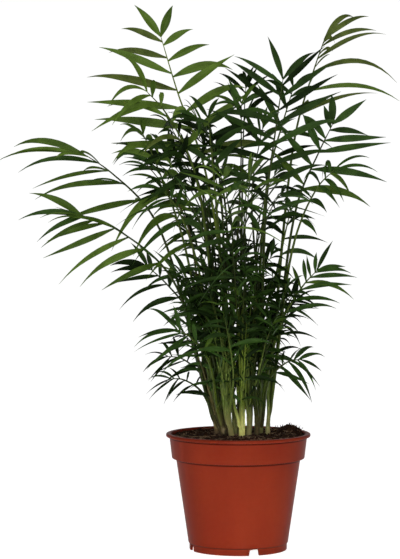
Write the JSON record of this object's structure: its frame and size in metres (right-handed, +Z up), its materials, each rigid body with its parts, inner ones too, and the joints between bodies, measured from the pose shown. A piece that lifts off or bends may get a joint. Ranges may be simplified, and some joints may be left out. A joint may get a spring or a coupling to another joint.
{
  "type": "parlour palm",
  "caption": "Potted parlour palm: a clump of slender canes with arching feathered fronds in a tapered, rimmed plastic nursery pot.",
  "frame": {"origin": "centre of the flat pad under the pot, on the surface that the pot stands on", "axes": "+Z up, +X to the right and +Y to the back, seen from the front"},
  "size_m": [0.471, 0.3303, 0.6494],
  "materials": {
    "pot_polypropylene": "injection moulded, satin terracotta red",
    "potting_soil": "dark crumbly peat",
    "green_cane": "smooth, yellow-green to brown",
    "lit_leaf": "soft leaf gloss, mid green",
    "deep_leaf": "soft leaf gloss, dark green"
  },
  "bodies": {
    "root": {"cane_01": "green_cane", "cane_02": "green_cane", "cane_03": "green_cane", "cane_04": "green_cane", "cane_05": "green_cane", "cane_06": "green_cane", "cane_07": "green_cane", "cane_08": "green_cane", "cane_09": "green_cane", "cane_10": "green_cane", "cane_11": "green_cane", "cane_12": "green_cane", "cane_13": "green_cane", "frond_centre_top": "lit_leaf", "frond_far_left": "lit_leaf", "frond_inner_01": "deep_leaf", "frond_inner_02": "deep_leaf", "frond_inner_03": "deep_leaf", "frond_inner_04": "deep_leaf", "frond_inner_05": "deep_leaf", "frond_inner_06": "deep_leaf", "frond_inner_07": "deep_leaf", "frond_inner_09": "deep_leaf", "frond_inner_10": "deep_leaf", "frond_inner_11": "deep_leaf", "frond_inner_13": "deep_leaf", "frond_inner_14": "deep_leaf", "frond_inner_15": "deep_leaf", "frond_inner_16": "deep_leaf", "frond_inner_18": "deep_leaf", "frond_inner_19": "deep_leaf", "frond_inner_20": "deep_leaf", "frond_inner_21": "deep_leaf", "frond_inner_22": "deep_leaf", "frond_inner_23": "deep_leaf", "frond_inner_24": "deep_leaf", "frond_left_arch": "lit_leaf", "frond_left_drape": "lit_leaf", "frond_left_fan": "lit_leaf", "frond_left_inner": "lit_leaf", "frond_left_low": "lit_leaf", "frond_left_skirt": "lit_leaf", "frond_left_skirt_low": "lit_leaf", "frond_left_upper": "lit_leaf", "frond_right_arch": "lit_leaf", "frond_right_inner": "lit_leaf", "frond_right_low": "lit_leaf", "frond_right_mid": "lit_leaf", "frond_right_skirt": "lit_leaf", "frond_right_top": "lit_leaf", "frond_top_left": "lit_leaf", "frond_upper_back": "lit_leaf", "frond_upper_centre": "lit_leaf", "pot": "pot_polypropylene", "soil": "potting_soil"}
  },
  "joints": []
}
